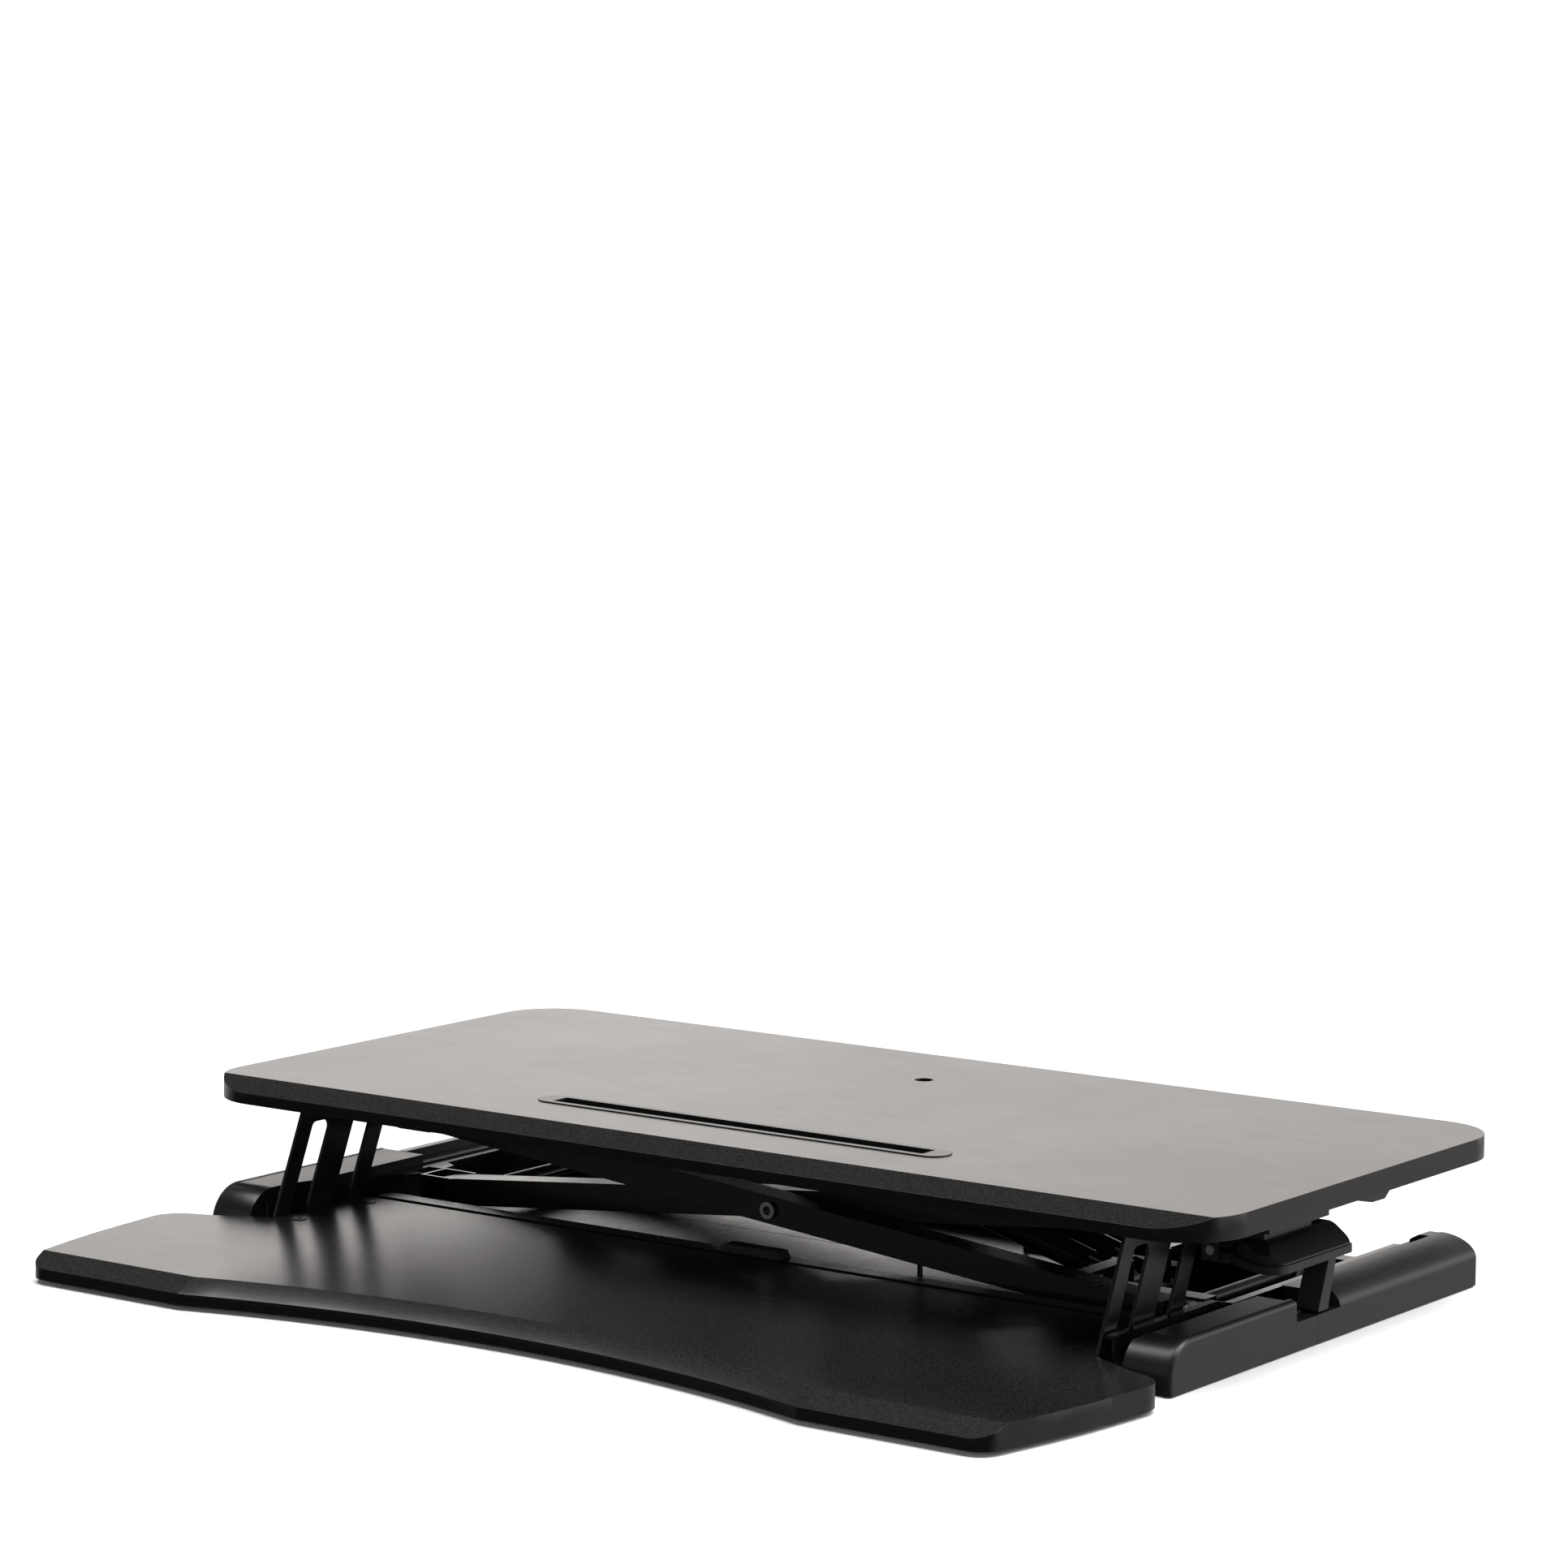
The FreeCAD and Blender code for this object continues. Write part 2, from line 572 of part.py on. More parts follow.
def make_middle_bolt():
    """Shoulder bolt through the middle of the front scissor, with its locknut."""
    head = rod(0, PIN_MID, 5.8, (OUTER_ARM[0] - 3, OUTER_ARM[0]))
    socket = front_plate([(3.1 * math.cos(math.radians(a)), PIN_MID + 3.1 * math.sin(math.radians(a)))
                          for a in range(0, 360, 60)], (OUTER_ARM[0] - 5, OUTER_ARM[0] + 4))
    shaft = rod(0, PIN_MID, PIN_R, (OUTER_ARM[0], INNER_ARM[1] + 1))
    nut = front_plate([(8.0 * math.cos(math.radians(a)), PIN_MID + 8.0 * math.sin(math.radians(a)))
                       for a in range(0, 360, 60)], (INNER_ARM[1] + 0.5, INNER_ARM[1] + 4.5))
    return joined([head, shaft, nut]).cut(socket)


def make_upper_axle():
    """Full-width axle with thin journals for the rollers in front of and behind the arms."""
    y = INNER_ARM[0]
    middle = rod(PIN_X, PIN_HIGH, PIN_R, (y, 2 * Y_MID - y))
    return joined([middle, rod(PIN_X, PIN_HIGH, AXLE_R, (y - 16.5, 2 * Y_MID - y + 16.5))])


def make_lower_axle():
    """Full-width axle with a cap at each end; its rollers run between the arms."""
    y = OUTER_ARM[0]
    caps = [rod(PIN_X, PIN_LOW, 7.0, (y - 3, y))]
    caps.append(rear(caps[0]))
    return joined([rod(PIN_X, PIN_LOW, PIN_R, (y - 3, 2 * Y_MID - y + 3))] + caps)


def make_roller(z, bore, y):
    """Nylon wheel on an axle."""
    wheel = ring(PIN_X, z, ROLLER_R, bore + RUN_GAP, y)
    rims = []
    for edge in wheel.Edges:
        if abs(edge.BoundBox.XLength - 2 * ROLLER_R) < 0.01 and edge.BoundBox.YLength < 0.01:
            rims.append(edge)
    return wheel.makeChamfer(0.8, rims)


# ---- gas springs -----------------------------------------------------------------------
SPRING_TILT = math.degrees(math.atan2(SPRING_HIGH - SPRING_LOW, SPRING_X))
SPRING_LENGTH = math.hypot(SPRING_X, SPRING_HIGH - SPRING_LOW)
CYLINDER = (15.0, 205.0)


def lean_spring(shape):
    """Turns a gas spring drawn along +X to its place under the work surface."""
    shape = shape.copy()
    shape.rotate(V(0, 0, 0), Y, -SPRING_TILT)
    shape.translate(V(0, SPRING_LANE, SPRING_LOW))
    return flipped(shape)


def tube_x(x, radius):
    return Part.makeCylinder(radius, x[1] - x[0], V(x[0], 0, 0), X)


def make_cylinder():
    eye = joined([rod(0, 0, 6.5, (-4, 4)), box((0, CYLINDER[0] + 1), (-4, 4), (-4, 4))])
    barrel = joined([tube_x(CYLINDER, 9.0), eye])
    room = tube_x((CYLINDER[0] + 3, CYLINDER[1] - 6), 7.0)
    gland = tube_x((CYLINDER[1] - 7, CYLINDER[1] + 1), 4.0 + RUN_GAP)
    return without(barrel, [room, gland, rod(0, 0, 3.0 + RUN_GAP, (-6, 6))])


def make_spring_rod():
    piston = tube_x((CYLINDER[0] + 5, CYLINDER[0] + 13), 6.93)
    return joined([piston, tube_x((CYLINDER[0] + 5, SPRING_LENGTH - 8), 4.0)])


def make_ball_end():
    socket = rod(SPRING_LENGTH, 0, 7.0, (-5, 5))
    neck = tube_x((SPRING_LENGTH - 16, SPRING_LENGTH - 3), 5.0)
    bore = tube_x((SPRING_LENGTH - 17, SPRING_LENGTH - 8), 4.0)
    return joined([socket, neck]).cut(bore)


def make_spring_foot():
    """Forked bracket that holds a gas spring's fixed end."""
    lane, low = SPRING_LANE, 2 * PIN_MID - SLAB_LOW
    ears = [box((-10, 10), (lane + s * 6.5 - 1.5, lane + s * 6.5 + 1.5), (low, 21.0)) for s in (-1, 1)]
    floor = box((-24, 24), (lane - 12, lane + 12), (low, low + SHEET))
    pin = rod(0, SPRING_LOW, 3.0, (lane - 10, lane + 10))
    return flipped(joined(ears + [floor, pin]))


def make_spring_arm():
    """Arm from the falling arm's channel to the plate beside the ball end."""
    point = along(SPRING_X)
    near = SPRING_LANE - 5.4
    bar = box((point[0] - 6, point[0] + 6), (OUTER_ARM[0] + SHEET, near), (point[1] - 6.4, point[1] - 2.8))
    ear = box((SPRING_X - 8, SPRING_X + 8), (near - 3, near), (point[1] - 6.4, SPRING_HIGH + 7))
    return flipped(joined([bar, ear]))


# ---- lock ---------------------------------------------------------------------------------
RACK_Y = (30.0, 54.0)
RACK_TIP = 83.5
RACK_ROOT = 86.5
RACK_PITCH = 12.0
PAWL_PIN = (288.0, 72.0)


def make_lock_rack():
    points = [(92.0, SLAB_LOW), (92.0, RACK_ROOT)]
    x = 92.0
    while x + RACK_PITCH < 316:
        points += [(x + 3, RACK_ROOT), (x + 3, RACK_TIP), (x + RACK_PITCH - 2, RACK_ROOT)]
        x += RACK_PITCH
    points += [(316.0, RACK_ROOT), (316.0, SLAB_LOW)]
    return front_plate(points, RACK_Y)


def make_lock_carriage():
    """Cage that hangs level on the upper axle and carries both pawls."""
    y = (RACK_Y[0] - 3, RACK_Y[1] + 3)
    x, z = (282.0, 309.0), (64.0, 81.0)
    cheeks = [box(x, (y[0], y[0] + 2.6), z), box(x, (y[1] - 2.6, y[1]), z)]
    floor = box(x, y, (z[0] - SHEET, z[0]))
    pin = rod(PAWL_PIN[0], PAWL_PIN[1], 2.5, y)
    return joined(cheeks + [floor, pin]).cut(rod(PIN_X, PIN_HIGH, RUNNING, (y[0] - 1, y[1] + 1)))


def make_lock_pawl(y):
    px, pz = PAWL_PIN
    finger = front_plate([(px - 1, pz - 4), (px - 18, pz + 4, 2), (px - 23, RACK_TIP - 2.5, 1),
                          (px - 21.5, RACK_TIP - 0.5), (px - 16, RACK_TIP - 2.5, 1), (px + 1, pz + 4)], y)
    hub = rod(px, pz, 4.6, y)
    return joined([finger, hub]).cut(rod(px, pz, 2.5 + RUN_GAP, (y[0] - 1, y[1] + 1)))


# ---- handles -------------------------------------------------------------------------------
HOUSING_Y = (-66.0, 8.0)
KNUCKLE = ((-62.4, -40.0), (-18.0, 4.4))
POST_X = (365.0, COVER_OUT)
CAP_TOP = 69.5
HOUSING_LOW = 75.2


def make_handle():
    """Squeeze handle: a rim, a sloping cap hollow below, hinge knuckles and a post down to the base."""
    y0, y1 = PADDLE
    low = PADDLE_Z[0]
    edge = COVER_OUT + 2.4
    rim = plate([(338, y0 + 23, 6), (edge, y0, 12), (edge, y1, 8), (338, y1, 6)], PADDLE_Z)
    cap_plan = [(342, y0 + 25, 6), (edge - 1.2, y0 + 3, 12), (edge - 1.2, y1 - 0.6, 8), (342, y1 - 0.6, 6)]
    cap_front = [(341, low), (341, CAP_TOP, 4), (366, CAP_TOP, 12), (edge - 2.0, PADDLE_Z[1] + 0.3, 3),
                 (edge - 2.0, low)]
    cap_side = [(y0 + 3, low), (y0 + 3, PADDLE_Z[1] + 1), (y0 + 24, CAP_TOP, 12), (y1, CAP_TOP), (y1, low)]
    cap = plate(cap_plan, (low, CAP_TOP)).common(front_plate(cap_front, (y0, y1)))
    cap = cap.common(side_plate(cap_side, (340, edge)))
    grip = plate([(350, y0 + 30, 5), (edge - 9, y0 + 22, 8), (edge - 9, y1 - 8, 8), (350, y1 - 8, 5)],
                 (low - 1, PADDLE_Z[1] + 1))
    core = box((344, 362), (HOUSING_Y[0] + 8, HOUSING_Y[1] - 8), (CAP_TOP - 1, CAP_TOP + 10))
    post = side_plate([(-10.5, low + 3), (-1.5, low + 3), (-1.5, low), (-10.8, 20.6, 1),
                       (-23.2, 20.6, 1), (-10.5, low)], POST_X)
    knuckles = [joined([rod(HINGE_X, HINGE_Z, 5.6, k), box((HINGE_X, 345), k, (low, HINGE_Z - 1.5))])
                for k in KNUCKLE]
    body = joined([joined([rim, cap]).cut(grip), core, post] + knuckles)
    return body.cut(rod(HINGE_X, HINGE_Z, HINGE_R + RUN_GAP, (HOUSING_Y[0] - 1, HOUSING_Y[1] + 1)))


def make_handle_housing():
    """Open box under the work surface that holds the handle's hinge."""
    block = box((322, 370), HOUSING_Y, (HOUSING_LOW, SLAB_LOW))
    room = box((326, 366), (HOUSING_Y[0] + 4, HOUSING_Y[1] - 4), (HOUSING_LOW - 1, SLAB_LOW - 4))
    cheeks = [box((322, 334), y, (53.5, HOUSING_LOW + 1))
              for y in ((HOUSING_Y[0], HOUSING_Y[0] + 3), (HOUSING_Y[1] - 3, HOUSING_Y[1]))]
    body = joined([block.cut(room)] + cheeks)
    return body.cut(rod(HINGE_X, HINGE_Z, HINGE_R, (HOUSING_Y[0] - 1, HOUSING_Y[1] + 1)))


def make_hinge_pin():
    head = rod(HINGE_X, HINGE_Z, 4.5, (HOUSING_Y[1], HOUSING_Y[1] + 1.5))
    return joined([rod(HINGE_X, HINGE_Z, HINGE_R, HOUSING_Y), head])


def make_handle_spring():
    """Closely wound return spring on the hinge pin, between the knuckles."""
    wire, turns, pitch = 0.9, 8, 2.2
    coil = Part.Wire(Part.makeHelix(pitch, pitch * turns, 4.4))
    section = Part.Wire(Part.makeCircle(wire, V(4.4, 0, 0), Y))
    spring = coil.makePipeShell([section], True, True)
    spring.rotate(V(0, 0, 0), X, -90)
    spring.translate(V(HINGE_X, (KNUCKLE[0][1] + KNUCKLE[1][0]) / 2 - pitch * turns / 2, HINGE_Z))
    return spring


def make_cable_clip():
    """Tapered plate under the work surface's end, right side."""
    profile = [(0.0, SLAB_LOW), (0.0, SLAB_LOW - 2.3), (16.0, SLAB_LOW - 5.8), (31.9, SLAB_LOW - 6.0),
               (37.7, SLAB_LOW - 2.0), (37.7, SLAB_LOW)]
    return side_plate(profile, (376.0, 396.0))


# ---- build ----------------------------------------------------------------------------------
os.makedirs("parts", exist_ok=True)

save("work_surface", make_work_surface())
save("slot_insert", make_slot_insert())
save("keyboard_tray", make_keyboard_tray())
save("tray_screws", make_tray_screws())
save("surface_screws", make_surface_screws())
save_pair("tray_hanger", make_hanger())

save_both("base_beams", make_base_beam(), rear)
save("base_rails", Part.makeCompound([make_base_rail(), other_side(make_left_rail())]))
save("cover_screws", make_cover_screws())
save("rubber_feet", make_feet())
save("front_bumper", make_front_bumper())
save("front_cover_right", make_front_cover(NOTCH[0], 1.4, True))
save("front_cover_left", other_side(make_front_cover(NOTCH[1], 0.3, False)))
save("rear_cover_right", make_rear_cover(NOTCH[1], HUMP_FRONT))
save("rear_cover_left", other_side(make_rear_cover(NOTCH[1], NOTCH[1])))
save("post_socket", make_post_socket())

save_both("lower_tracks", make_lower_track(), rear)
save_both("upper_tracks", make_upper_track(), rear)
save_both("surface_beams", make_surface_beam(), rear)

save_both("lower_brackets", make_pivot_bracket(PIN_LOW, INNER_ARM, BASE_TOP, PIN_LOW + 11), rear)
save_both("upper_brackets", make_pivot_bracket(PIN_HIGH, OUTER_ARM, PIN_HIGH - 11, SLAB_LOW - SHEET), rear)
save_both("lower_pins", make_pin(PIN_LOW, INNER_ARM), rear)
save_both("upper_pins", make_pin(PIN_HIGH, OUTER_ARM), rear)

rising_bores, falling_bores = (RUNNING, RUNNING, PIN_R), (RUNNING, PIN_R, PIN_R)
rising_arm = make_arm(INNER_ARM, rising_bores)
falling_arm = flipped(make_arm(OUTER_ARM, falling_bores))
save("rising_arm_front", rising_arm)
save("rising_arm_rear", rear(rising_arm))
save("falling_arm_front", falling_arm)
save("falling_arm_rear", rear(falling_arm))
save_both("rising_arm_bushes", make_bushes(INNER_ARM, rising_bores), rear)
save_both("falling_arm_bushes", flipped(make_bushes(OUTER_ARM, falling_bores)), rear)
save("rising_arm_tubes", make_cross_tubes(INNER_ARM))
save("falling_arm_tubes", flipped(make_cross_tubes(OUTER_ARM)))
save_both("middle_bolts", make_middle_bolt(), rear)
save("upper_axle", make_upper_axle())
save("lower_axle", make_lower_axle())
upper_roller = make_roller(PIN_HIGH, AXLE_R, (INNER_ARM[0] - 15, INNER_ARM[0] - 4))
lower_roller = make_roller(PIN_LOW, PIN_R, (OUTER_ARM[1] + 4, OUTER_ARM[1] + 15))
for name, roller in (("upper_roller", upper_roller), ("lower_roller", lower_roller)):
    save(name + "_front", roller)
    save(name + "_rear", rear(roller))

spring_pieces = [("cylinder", lean_spring(make_cylinder())), ("rod", lean_spring(make_spring_rod())),
                 ("ball_end", lean_spring(make_ball_end())), ("foot", make_spring_foot()),
                 ("arm", make_spring_arm())]
for name, shape in spring_pieces:
    save("front_spring_" + name, shape)
    save("rear_spring_" + name, rear(shape))

save("lock_rack", make_lock_rack())
save("lock_carriage", make_lock_carriage())
save("lock_pawl_front", make_lock_pawl((RACK_Y[0] + 1, RACK_Y[0] + 10)))
save("lock_pawl_rear", make_lock_pawl((RACK_Y[1] - 10, RACK_Y[1] - 1)))

save("handle", make_handle())
save("handle_housing", make_handle_housing())
save("hinge_pin", make_hinge_pin())
save("handle_spring", make_handle_spring())
save_both("cable_clips", make_cable_clip(), other_side)
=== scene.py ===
import json
import math

import bmesh
import bpy
from mathutils import Matrix, Vector

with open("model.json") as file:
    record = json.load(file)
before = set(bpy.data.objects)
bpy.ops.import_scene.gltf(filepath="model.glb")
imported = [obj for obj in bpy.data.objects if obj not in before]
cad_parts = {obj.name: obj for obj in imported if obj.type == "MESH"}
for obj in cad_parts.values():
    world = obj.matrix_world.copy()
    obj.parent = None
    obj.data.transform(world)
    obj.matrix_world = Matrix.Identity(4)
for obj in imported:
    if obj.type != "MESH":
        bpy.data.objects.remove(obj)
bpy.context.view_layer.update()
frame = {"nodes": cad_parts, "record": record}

nodes = frame["nodes"]
MM = 0.001


# ---- node helpers -----------------------------------------------------------------
class Net:
    """A material's node tree with short calls for the nodes used below."""

    def __init__(self, name):
        self.material = bpy.data.materials.new(name)
        self.material.use_nodes = True
        self.tree = self.material.node_tree
        self.tree.nodes.clear()
        self.shader = self.tree.nodes.new("ShaderNodeBsdfPrincipled")
        out = self.tree.nodes.new("ShaderNodeOutputMaterial")
        self.tree.links.new(self.shader.outputs[0], out.inputs[0])
        self.place = self.tree.nodes.new("ShaderNodeTexCoord").outputs["Object"]

    def link(self, source, target):
        if isinstance(source, (int, float)):
            target.default_value = source
        elif isinstance(source, tuple):
            target.default_value = source + (1.0,) if len(source) == 3 else source
        else:
            self.tree.links.new(source, target)

    def math(self, kind, a, b=0.0):
        node = self.tree.nodes.new("ShaderNodeMath")
        node.operation = kind
        self.link(a, node.inputs[0])
        self.link(b, node.inputs[1])
        return node.outputs[0]

    def noise(self, scale, detail=2.0, rough=0.5, stretch=None):
        node = self.tree.nodes.new("ShaderNodeTexNoise")
        node.inputs["Scale"].default_value = scale
        node.inputs["Detail"].default_value = detail
        node.inputs["Roughness"].default_value = rough
        self.tree.links.new(self.stretched(stretch), node.inputs["Vector"])
        return node.outputs["Fac"]

    def cells(self, scale):
        node = self.tree.nodes.new("ShaderNodeTexVoronoi")
        node.inputs["Scale"].default_value = scale
        self.tree.links.new(self.place, node.inputs["Vector"])
        return node.outputs["Distance"]

    def stretched(self, stretch):
        """The object's coordinates, scaled along each axis where a stretch is given."""
        if not stretch:
            return self.place
        node = self.tree.nodes.new("ShaderNodeMapping")
        node.inputs["Scale"].default_value = stretch
        self.tree.links.new(self.place, node.inputs["Vector"])
        return node.outputs[0]

    def ranged(self, value, low, high, to_low, to_high):
        node = self.tree.nodes.new("ShaderNodeMapRange")
        for socket, number in zip(node.inputs[1:5], (low, high, to_low, to_high)):
            socket.default_value = number
        self.link(value, node.inputs[0])
        return node.outputs[0]

    def mixed(self, factor, dark, light):
        node = self.tree.nodes.new("ShaderNodeMix")
        node.data_type = "RGBA"
        self.link(factor, node.inputs["Factor"])
        self.link(dark, node.inputs["A"])
        self.link(light, node.inputs["B"])
        return node.outputs["Result"]

    def upward(self):
        """1 on faces that look up or down, 0 on upright ones."""
        normal = self.tree.nodes.new("ShaderNodeNewGeometry").outputs["Normal"]
        split = self.tree.nodes.new("ShaderNodeSeparateXYZ")
        self.tree.links.new(normal, split.inputs[0])
        return self.ranged(self.math("ABSOLUTE", split.outputs["Z"]), 0.35, 0.75, 0.0, 1.0)

    def worn_edges(self):
        """1 on convex edges."""
        pointy = self.tree.nodes.new("ShaderNodeNewGeometry").outputs["Pointiness"]
        return self.ranged(pointy, 0.53, 0.62, 0.0, 1.0)

    def bump(self, height, strength, distance):
        node = self.tree.nodes.new("ShaderNodeBump")
        node.inputs["Strength"].default_value = strength
        node.inputs["Distance"].default_value = distance
        self.link(height, node.inputs["Height"])
        return node.outputs[0]

    def finish(self, color, rough, normal=None, **constants):
        self.link(color, self.shader.inputs["Base Color"])
        self.link(rough, self.shader.inputs["Roughness"])
        if normal:
            self.link(normal, self.shader.inputs["Normal"])
        for name, value in constants.items():
            self.shader.inputs[name.replace("_", " ")].default_value = value
        return self.material


# ---- materials ----------------------------------------------------------------------
FINE_GRAIN = 1500.0         # noise scale of moulded and drawn surfaces, about 0.7 mm a spot


def board_foil():
    """Black foil with a fine leather grain on its flat faces and a smooth edge band."""
    net = Net("board_foil")
    flat = net.upward()
    grain = net.math("ADD", net.math("MULTIPLY", net.cells(380.0), 0.5), net.noise(420.0, 2.0, 0.5))
    drift = net.noise(7.0, 3.0, 0.55)
    speck = net.ranged(net.noise(600.0, 2.0, 0.65), 0.42, 0.60, 0.0, 1.0)
    tone = net.mixed(net.math("MULTIPLY", speck, flat), (0.0030, 0.0027, 0.0026), (0.0125, 0.0116, 0.0110))
    rub = net.noise(26.0, 4.0, 0.6, stretch=(1.0, 2.2, 1.0))
    cloudy = net.ranged(drift, 0.3, 0.7, 0.225, 0.242)
    rubbed = net.math("ADD", cloudy, net.ranged(rub, 0.35, 0.7, -0.005, 0.006))
    rough = net.math("ADD", rubbed, net.math("MULTIPLY", flat, 0.03))
    height = net.math("MULTIPLY", grain, net.ranged(flat, 0.0, 1.0, 0.12, 1.0))
    normal = net.bump(height, 0.10, 0.00016)
    return net.finish(tone, rough, normal, Specular_IOR_Level=0.5, IOR=1.5)


def moulded(name, dark, light, rough, strength):
    """Satin black moulding with a spark texture and faint flow marks."""
    net = Net(name)
    spark = net.noise(FINE_GRAIN, 3.0, 0.6)
    flow = net.noise(9.0, 4.0, 0.6, stretch=(1.0, 0.35, 1.6))
    tone = net.mixed(net.math("MULTIPLY", spark, 0.8), dark, light)
    roughness = net.ranged(flow, 0.3, 0.7, rough - 0.025, rough + 0.025)
    return net.finish(tone, roughness, net.bump(spark, strength, 0.00012), Specular_IOR_Level=0.5)


def powder_coat():
    """Black powder coat with orange peel; the edges shine a little more."""
    net = Net("black_steel")
    peel = net.noise(420.0, 2.0, 0.5)
    dust = net.noise(30.0, 4.0, 0.6)
    tone = net.mixed(dust, (0.0022, 0.0021, 0.0020), (0.0050, 0.0048, 0.0046))
    dusty = net.ranged(dust, 0.3, 0.7, 0.24, 0.31)
    roughness = net.math("ADD", dusty, net.math("MULTIPLY", net.worn_edges(), -0.06))
    return net.finish(tone, roughness, net.bump(peel, 0.10, 0.00014), Specular_IOR_Level=0.5)


def metal(name, dark, light, rough):
    """Drawn or turned metal with fine lines and darker stains."""
    net = Net(name)
    scratch = net.noise(FINE_GRAIN, 4.0, 0.6, stretch=(0.05, 1.0, 1.0))
    stain = net.noise(40.0, 4.0, 0.6)
    tone = net.mixed(stain, dark, light)
    roughness = net.ranged(scratch, 0.3, 0.7, rough - 0.06, rough + 0.06)
    return net.finish(tone, roughness, net.bump(scratch, 0.15, 0.00008), Metallic=1.0)


def nylon():
    """Milky white nylon."""
    net = Net("nylon")
    cloud = net.noise(60.0, 3.0, 0.6)
    tone = net.mixed(cloud, (0.50, 0.49, 0.45), (0.62, 0.61, 0.57))
    return net.finish(tone, net.ranged(cloud, 0.3, 0.7, 0.38, 0.5), net.bump(net.noise(900.0), 0.1, 0.0001))


def rubber():
    """Dull black rubber with fine pores."""
    net = Net("rubber")
    pores = net.noise(1300.0, 3.0, 0.6)
    tone = net.mixed(pores, (0.010, 0.010, 0.010), (0.021, 0.020, 0.020))
    return net.finish(tone, net.ranged(pores, 0.3, 0.7, 0.55, 0.7), net.bump(pores, 0.3, 0.00012),
                      Specular_IOR_Level=0.4)


finishes = {
    "board_foil": board_foil(),
    "insert_plastic": moulded("insert_plastic", (0.0060, 0.0057, 0.0055), (0.0105, 0.0100, 0.0096),
                              0.30, 0.10),
    "cover_plastic": moulded("cover_plastic", (0.0050, 0.0047, 0.0045), (0.0095, 0.0090, 0.0086),
                             0.34, 0.20),
    "handle_plastic": moulded("handle_plastic", (0.0060, 0.0057, 0.0054), (0.0105, 0.0100, 0.0095),
                              0.30, 0.16),
    "black_steel": powder_coat(),
    "bright_steel": metal("bright_steel", (0.58, 0.58, 0.57), (0.74, 0.74, 0.73), 0.36),
    "dark_steel": metal("dark_steel", (0.035, 0.035, 0.036), (0.065, 0.065, 0.067), 0.34),
    "nylon": nylon(),
    "rubber": rubber(),
}

for part in frame["record"]["subparts"]:
    node = nodes[part["node"]]
    node.data.materials.clear()
    node.data.materials.append(finishes[part["material_slot"]])


# ---- edges of the carried-over pieces --------------------------------------------------
def soften(name, width, segments):
    """Rounds the sharp edges of a CAD node."""
    node = nodes[name]
    weld = node.modifiers.new("weld", "WELD")
    weld.merge_threshold = 0.02 * MM
    bevel = node.modifiers.new("bevel", "BEVEL")
    bevel.width = width
    bevel.segments = segments
    bevel.limit_method = "ANGLE"
    bevel.angle_limit = math.radians(35.0)
    bevel.harden_normals = True
    bevel.use_clamp_overlap = True


soften("work_surface", 1.1 * MM, 3)
soften("keyboard_tray", 1.3 * MM, 3)
soften("slot_insert", 0.8 * MM, 3)
soften("front_cover_left", 2.2 * MM, 4)
for hanger in ("tray_hanger_left", "tray_hanger_right"):
    soften(hanger, 0.35 * MM, 2)
for name in ("base_beams", "base_rails", "rising_arm_front", "rising_arm_rear", "falling_arm_front",
             "falling_arm_rear", "middle_bolts", "tray_screws", "front_bumper", "post_socket", "cable_clips"):
    soften(name, 0.3 * MM, 2)

# ---- floor ------------------------------------------------------------------------------
floor_mesh = bpy.data.meshes.new("floor")
floor_bm = bmesh.new()
bmesh.ops.create_circle(floor_bm, cap_ends=True, segments=96, radius=14.0)
floor_bm.to_mesh(floor_mesh)
floor_bm.free()
floor = bpy.data.objects.new("floor", floor_mesh)
bpy.context.scene.collection.objects.link(floor)
floor.location.z = -0.2 * MM
floor_net = Net("floor_paint")
floor_tone = floor_net.mixed(floor_net.noise(3.0, 2.0, 0.5), (0.80, 0.80, 0.80), (0.83, 0.83, 0.83))
floor_mesh.materials.append(floor_net.finish(floor_tone, 0.75, Specular_IOR_Level=0.2))
floor.visible_glossy = False

# ---- light --------------------------------------------------------------------------------
SKY_BELOW = 0.22            # brightness straight down, before the strength
# Each stop is the direction's height, from -1 to 1, and the brightness there.
SKY_BAND = ((-0.14, 0.32), (-0.06, 0.68), (0.05, 0.70), (0.12, 1.0), (0.24, 1.0), (0.42, 0.04), (0.9, 0.02))
SKY_TINT = (1.0, 0.965, 0.938, 1.0)

scene = bpy.context.scene
scene.view_settings.view_transform = "Standard"
world = bpy.data.worlds.new("studio")
scene.world = world
world.use_nodes = True
tree = world.node_tree
tree.nodes.clear()
sky = tree.nodes.new("ShaderNodeBackground")
sky.inputs["Color"].default_value = SKY_TINT
out = tree.nodes.new("ShaderNodeOutputWorld")
tree.links.new(sky.outputs[0], out.inputs[0])
coordinate = tree.nodes.new("ShaderNodeTexCoord")
direction = tree.nodes.new("ShaderNodeSeparateXYZ")
tree.links.new(coordinate.outputs["Generated"], direction.inputs[0])


def along_sky(axis, low, high, to_low, to_high):
    """A value that goes from to_low to to_high as the direction's axis goes from low to high."""
    node = tree.nodes.new("ShaderNodeMapRange")
    for socket, number in zip(node.inputs[1:5], (low, high, to_low, to_high)):
        socket.default_value = number
    tree.links.new(direction.outputs[axis], node.inputs[0])
    return node.outputs[0]


def product(first, second):
    """Two values of the sky, multiplied."""
    node = tree.nodes.new("ShaderNodeMath")
    node.operation = "MULTIPLY"
    tree.links.new(first, node.inputs[0])
    tree.links.new(second, node.inputs[1])
    return node.outputs[0]


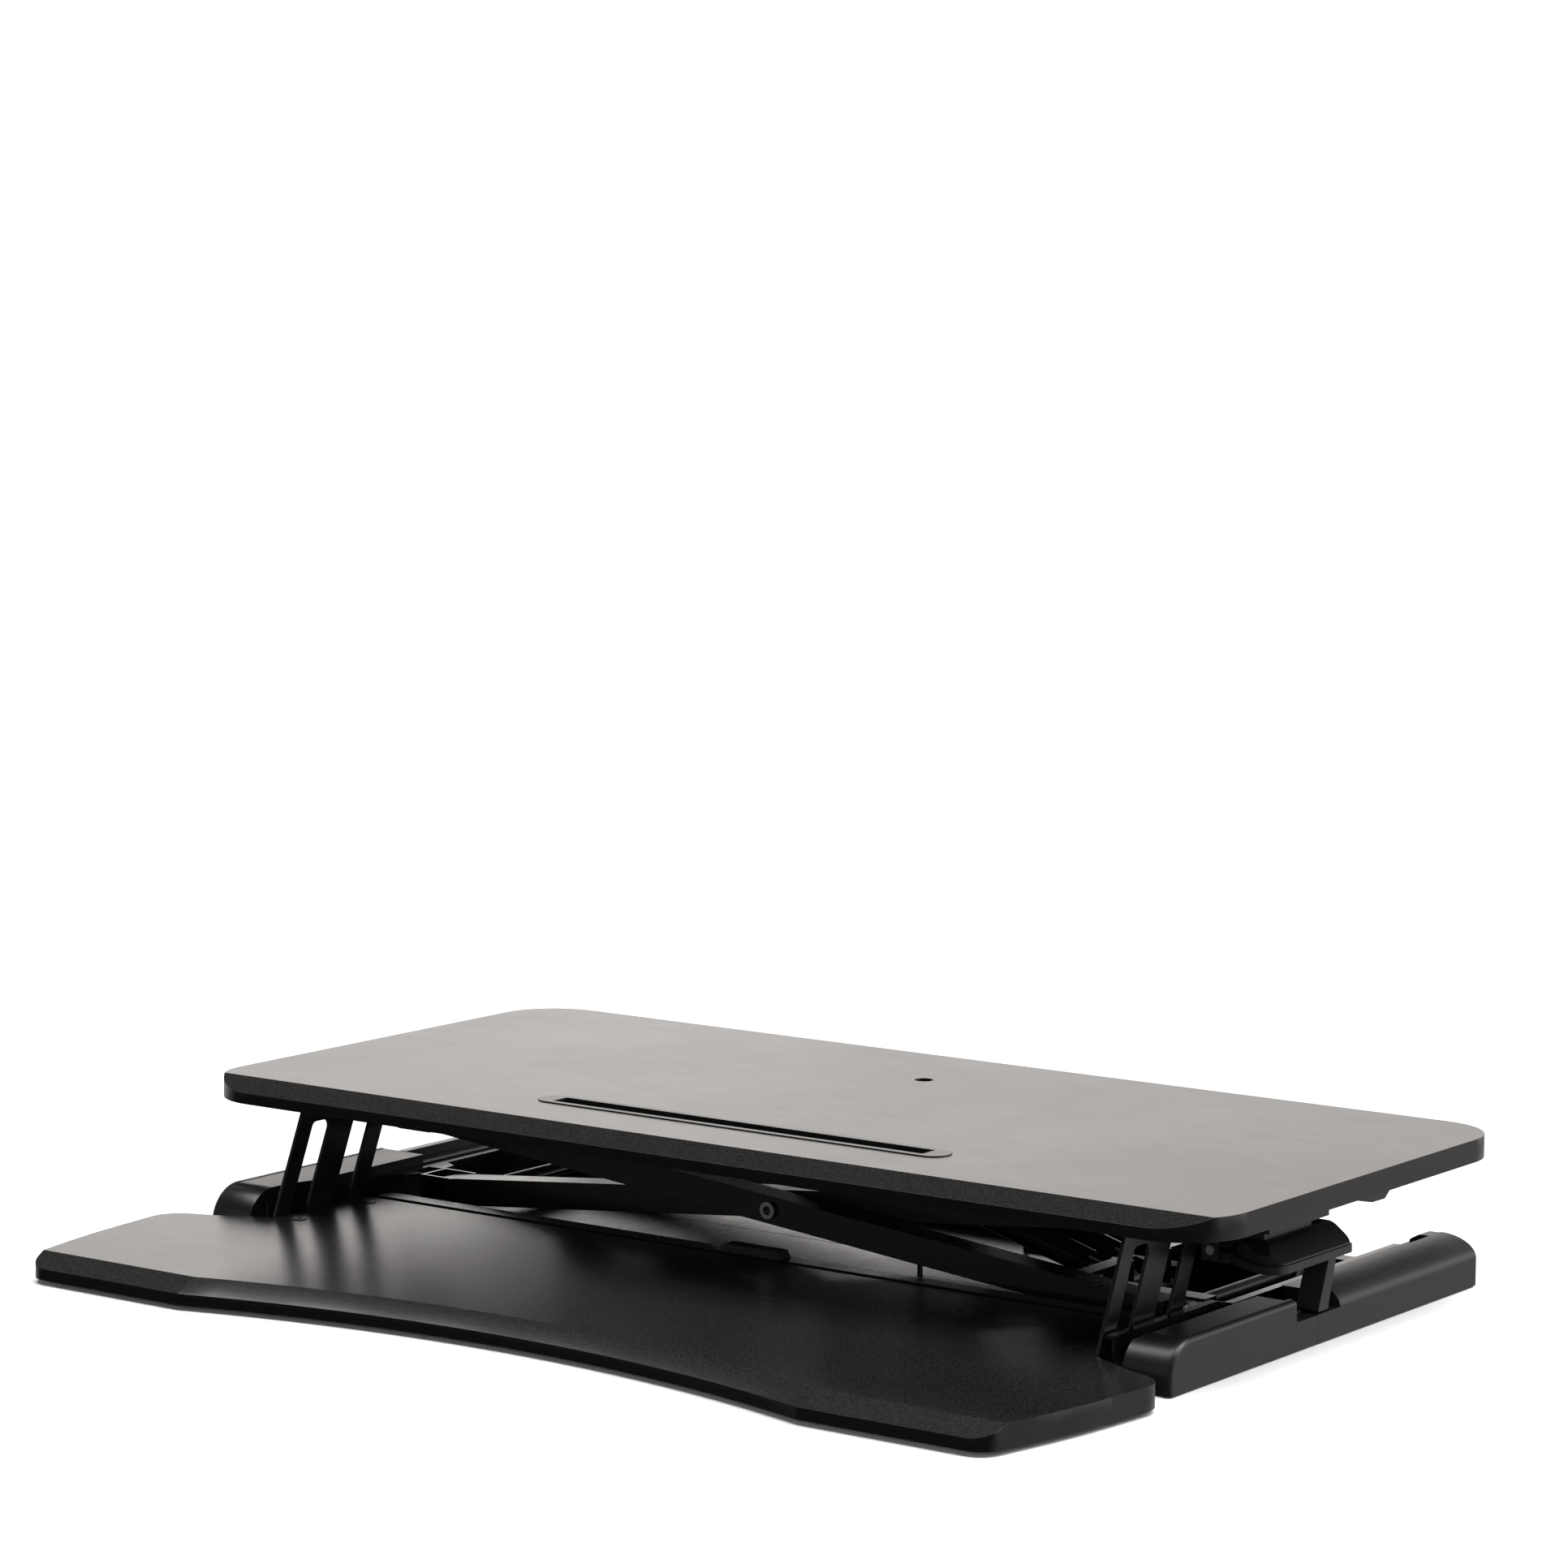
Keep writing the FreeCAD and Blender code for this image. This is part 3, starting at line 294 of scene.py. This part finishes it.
band = tree.nodes.new("ShaderNodeValToRGB")
band.color_ramp.interpolation = "EASE"
band.color_ramp.elements.remove(band.color_ramp.elements[1])
band.color_ramp.elements[0].color = (SKY_BELOW, SKY_BELOW, SKY_BELOW, 1.0)
for level, value in SKY_BAND:
    stop = band.color_ramp.elements.new((level + 1.0) / 2.0)
    stop.color = (value, value, value, 1.0)
tree.links.new(along_sky("Z", -1.0, 1.0, 0.0, 1.0), band.inputs[0])
behind = along_sky("Y", -0.35, 0.25, 0.05, 1.0)
strength = along_sky("X", -0.60, -0.40, 1.9, 1.5)
tree.links.new(product(product(behind, band.outputs["Color"]), strength), sky.inputs["Strength"])


def area_light(name, location, target, size, power):
    """A rectangular lamp that looks at the target."""
    data = bpy.data.lights.new(name, "AREA")
    data.shape = "RECTANGLE"
    data.size, data.size_y = size
    data.energy = power
    lamp = bpy.data.objects.new(name, data)
    scene.collection.objects.link(lamp)
    lamp.location = location
    lamp.rotation_euler = (Vector(target) - Vector(location)).to_track_quat("-Z", "Y").to_euler()
    return lamp


sun_data = bpy.data.lights.new("overhead", "SUN")
sun_data.energy = 4.3
sun_data.angle = math.radians(50.0)
sun = bpy.data.objects.new("overhead", sun_data)
scene.collection.objects.link(sun)
sun.rotation_euler = (math.radians(-10.0), math.radians(6.0), 0.0)
area_light("front_fill", (-2.4, -3.2, 1.3), (0.0, 0.0, 0.05), (1.2, 1.0), 3.0)
area_light("top_left", (-1.4, -0.5, 2.5), (0.36, -0.1, 0.02), (1.0, 1.0), 26.0)
area_light("right_top", (2.2, 0.9, 1.9), (0.6, 0.3, 0.0), (1.6, 1.6), 40.0)
floor_lamp = area_light("front_floor", (1.2, -2.2, 0.5), (0.0, -0.3, 0.0), (1.0, 1.0), 22.0)
floor_lamp.visible_glossy = False

# ---- camera ---------------------------------------------------------------------------------
AZIMUTH = math.radians(35.70)
ELEVATION = math.radians(6.78)
ROLL = math.radians(0.446)
CAMERA_PLACE = (1.848, -2.539, 0.701)
level_back = Vector((math.sin(AZIMUTH), -math.cos(AZIMUTH), 0.0))
back = level_back * math.cos(ELEVATION) + Vector((0.0, 0.0, math.sin(ELEVATION)))
right = (-back).cross(Vector((0, 0, 1))).normalized()
up = right.cross(-back)
tilted_right = right * math.cos(ROLL) + up * math.sin(ROLL)
tilted_up = up * math.cos(ROLL) - right * math.sin(ROLL)
camera_data = bpy.data.cameras.new("camera")
camera_data.lens = 112.72
camera_data.sensor_width = 36.0
camera = bpy.data.objects.new("camera", camera_data)
scene.collection.objects.link(camera)
turn = Matrix((tilted_right, tilted_up, back)).transposed().to_4x4()
camera.matrix_world = Matrix.Translation(CAMERA_PLACE) @ turn
scene.camera = camera
